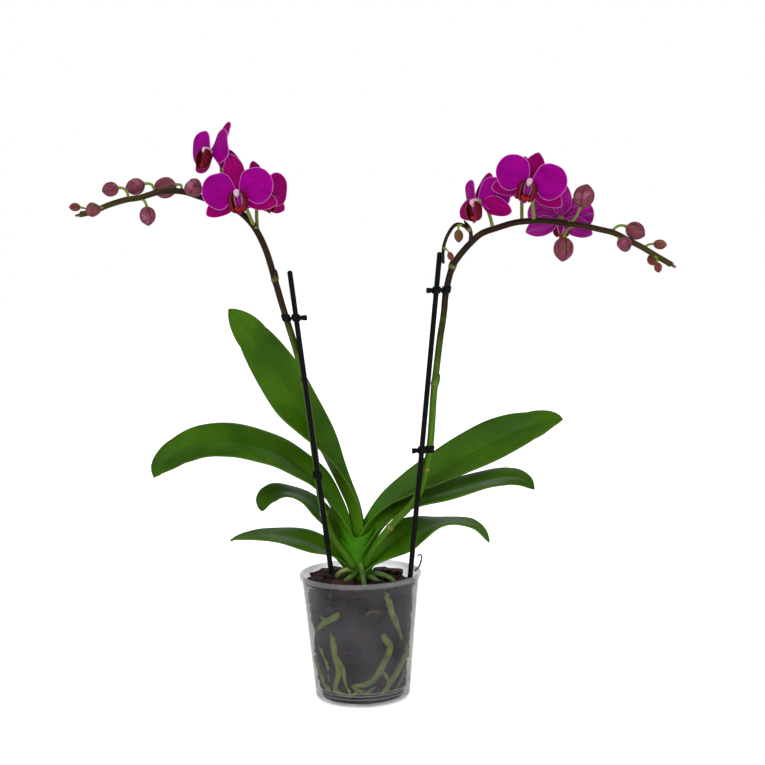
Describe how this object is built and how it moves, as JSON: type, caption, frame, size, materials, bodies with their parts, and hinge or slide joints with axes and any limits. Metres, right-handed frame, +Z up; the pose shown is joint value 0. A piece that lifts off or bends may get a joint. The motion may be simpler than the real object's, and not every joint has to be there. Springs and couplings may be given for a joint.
{
  "type": "potted orchid",
  "caption": "Potted moth orchid with arching leaves, staked flower spikes with magenta flowers and buds, in a clear plastic grower's pot of bark.",
  "frame": {"origin": "centre of the underside of the pot's base", "axes": "+Z up, the plant's front faces -Y, the long flower spike arches to +X"},
  "size_m": [0.5746, 0.12, 0.5656],
  "materials": {
    "clear_plastic": "clear, slightly frosted polypropylene, glossy at the rim",
    "bark": "rough damp dark pine bark",
    "root": "matt green and silvery aerial root",
    "crown": "waxy bright green",
    "leaf": "waxy mid green with a satin gloss",
    "stem": "satin, green below and dark purple-brown above",
    "black_plastic": "smooth black",
    "petal": "velvety deep magenta with a thin pale edge",
    "lip": "waxy dark crimson with an orange callus",
    "bud": "matt dusty rose with darker seams"
  },
  "bodies": {
    "root": {"bark": "bark", "bark_chip_1": "bark", "bark_chip_2": "bark", "bark_chip_3": "bark", "bark_chip_4": "bark", "bud_branch_1": "bud", "bud_branch_2": "bud", "bud_left_1": "bud", "bud_left_2": "bud", "bud_left_3": "bud", "bud_left_4": "bud", "bud_left_5": "bud", "bud_left_6": "bud", "bud_left_7": "bud", "bud_right_1": "bud", "bud_right_2": "bud", "bud_right_3": "bud", "bud_right_4": "bud", "bud_right_5": "bud", "bud_right_6": "bud", "bud_right_7": "bud", "clip_left_lower": "black_plastic", "clip_left_upper": "black_plastic", "clip_right_lower": "black_plastic", "clip_right_upper": "black_plastic", "crown": "crown", "flower_1": "petal", "flower_1_lip": "lip", "flower_2": "petal", "flower_2_lip": "lip", "flower_3": "petal", "flower_3_lip": "lip", "flower_4": "petal", "flower_4_lip": "lip", "flower_5": "petal", "flower_5_lip": "lip", "flower_6": "petal", "flower_6_lip": "lip", "flower_7": "petal", "flower_7_lip": "lip", "leaf_left_1": "leaf", "leaf_left_2": "leaf", "leaf_left_3": "leaf", "leaf_left_4": "leaf", "leaf_right_1": "leaf", "leaf_right_2": "leaf", "leaf_right_3": "leaf", "pot": "clear_plastic", "root_aerial": "root", "root_back": "root", "root_front_left": "root", "root_hook": "root", "root_left": "root", "root_low_left": "root", "root_low_right": "root", "root_right": "root", "spike_left": "stem", "spike_right": "stem", "stake_left": "black_plastic", "stake_right": "black_plastic"}
  },
  "joints": []
}
